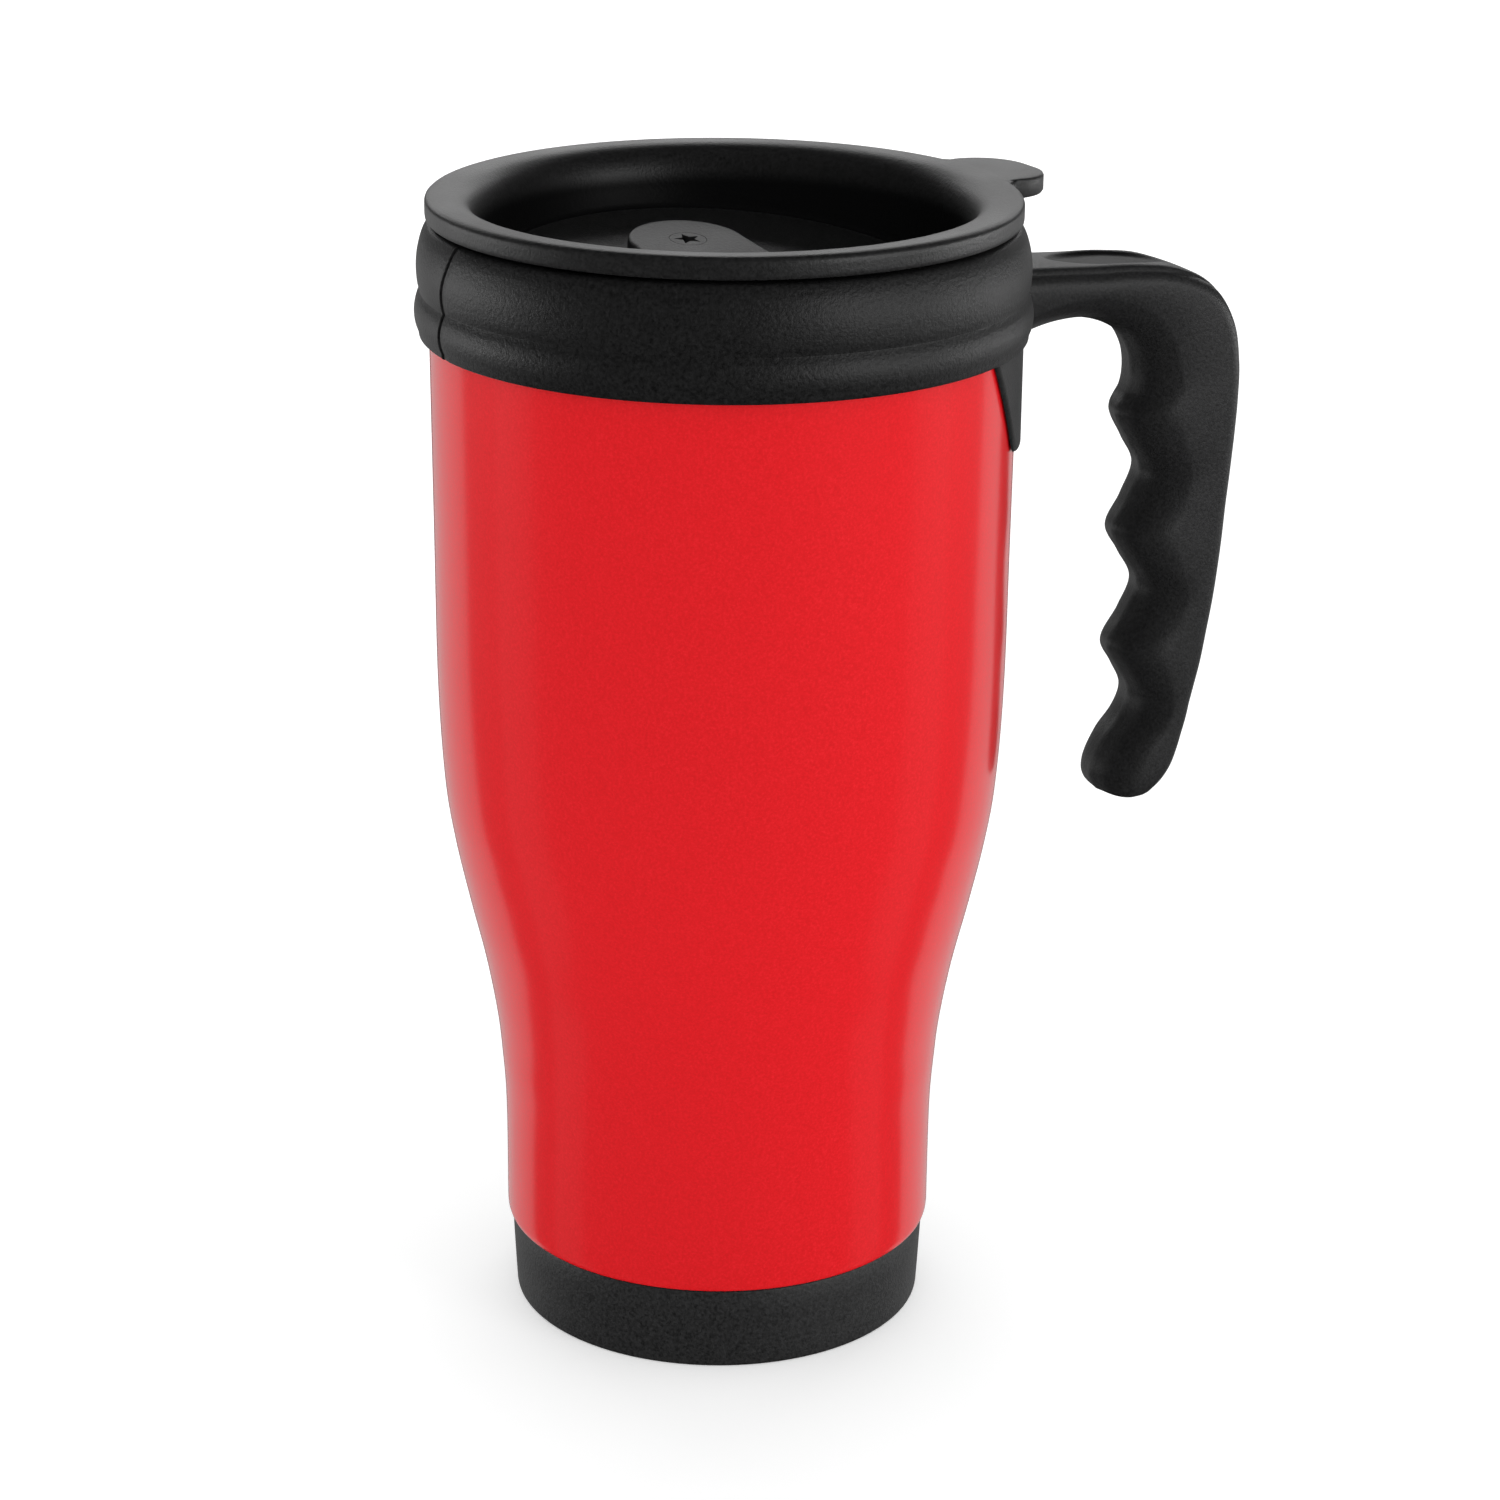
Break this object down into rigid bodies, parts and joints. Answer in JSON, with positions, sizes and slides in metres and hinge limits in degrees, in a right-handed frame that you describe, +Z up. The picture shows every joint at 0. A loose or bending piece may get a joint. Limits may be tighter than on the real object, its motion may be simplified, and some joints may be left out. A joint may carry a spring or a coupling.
{
  "type": "travel mug",
  "caption": "Insulated travel mug with a waisted double wall body, hook handle with finger grips, push-in lid and swivel drinking closure.",
  "frame": {"origin": "centre of the flat underside, on the mug axis", "axes": "+Z up along the mug axis, +X towards the handle, -Y towards the drinking hole of the lid"},
  "size_m": [0.128, 0.0874, 0.1678],
  "materials": {
    "shell_lacquer": "glossy red lacquer on steel sheet, very fine speckle",
    "liner_plastic": "black moulded polypropylene, smooth",
    "seal_silicone": "dark grey silicone",
    "base_plastic": "black moulded plastic, fine grain",
    "pad_rubber": "black foam rubber, matte",
    "collar_plastic": "black moulded plastic, fine grain, slightly lighter than the handle",
    "handle_plastic": "black moulded plastic, satin",
    "lid_plastic": "black moulded plastic, satin",
    "closure_plastic": "black moulded plastic, satin"
  },
  "bodies": {
    "body": {"outer_shell": "shell_lacquer", "inner_liner": "liner_plastic", "neck_seal": "seal_silicone", "base_cap": "base_plastic", "base_pad": "pad_rubber", "collar": "collar_plastic", "handle": "handle_plastic"},
    "lid": {"lid_body": "lid_plastic", "lid_gasket": "seal_silicone", "pivot_pin": "closure_plastic"},
    "closure": {"swivel_closure": "closure_plastic"}
  },
  "joints": [
    {"name": "lid_lift", "type": "slide", "parent": "body", "child": "lid", "axis": [0, 0, 1], "range_m": [0, 0.08]},
    {"name": "closure_swivel", "type": "hinge", "parent": "lid", "child": "closure", "pos_m": [0, 0.0119, 0.15615], "axis": [0, -0.1289, 0.9917], "range_deg": [-42, 42]}
  ]
}
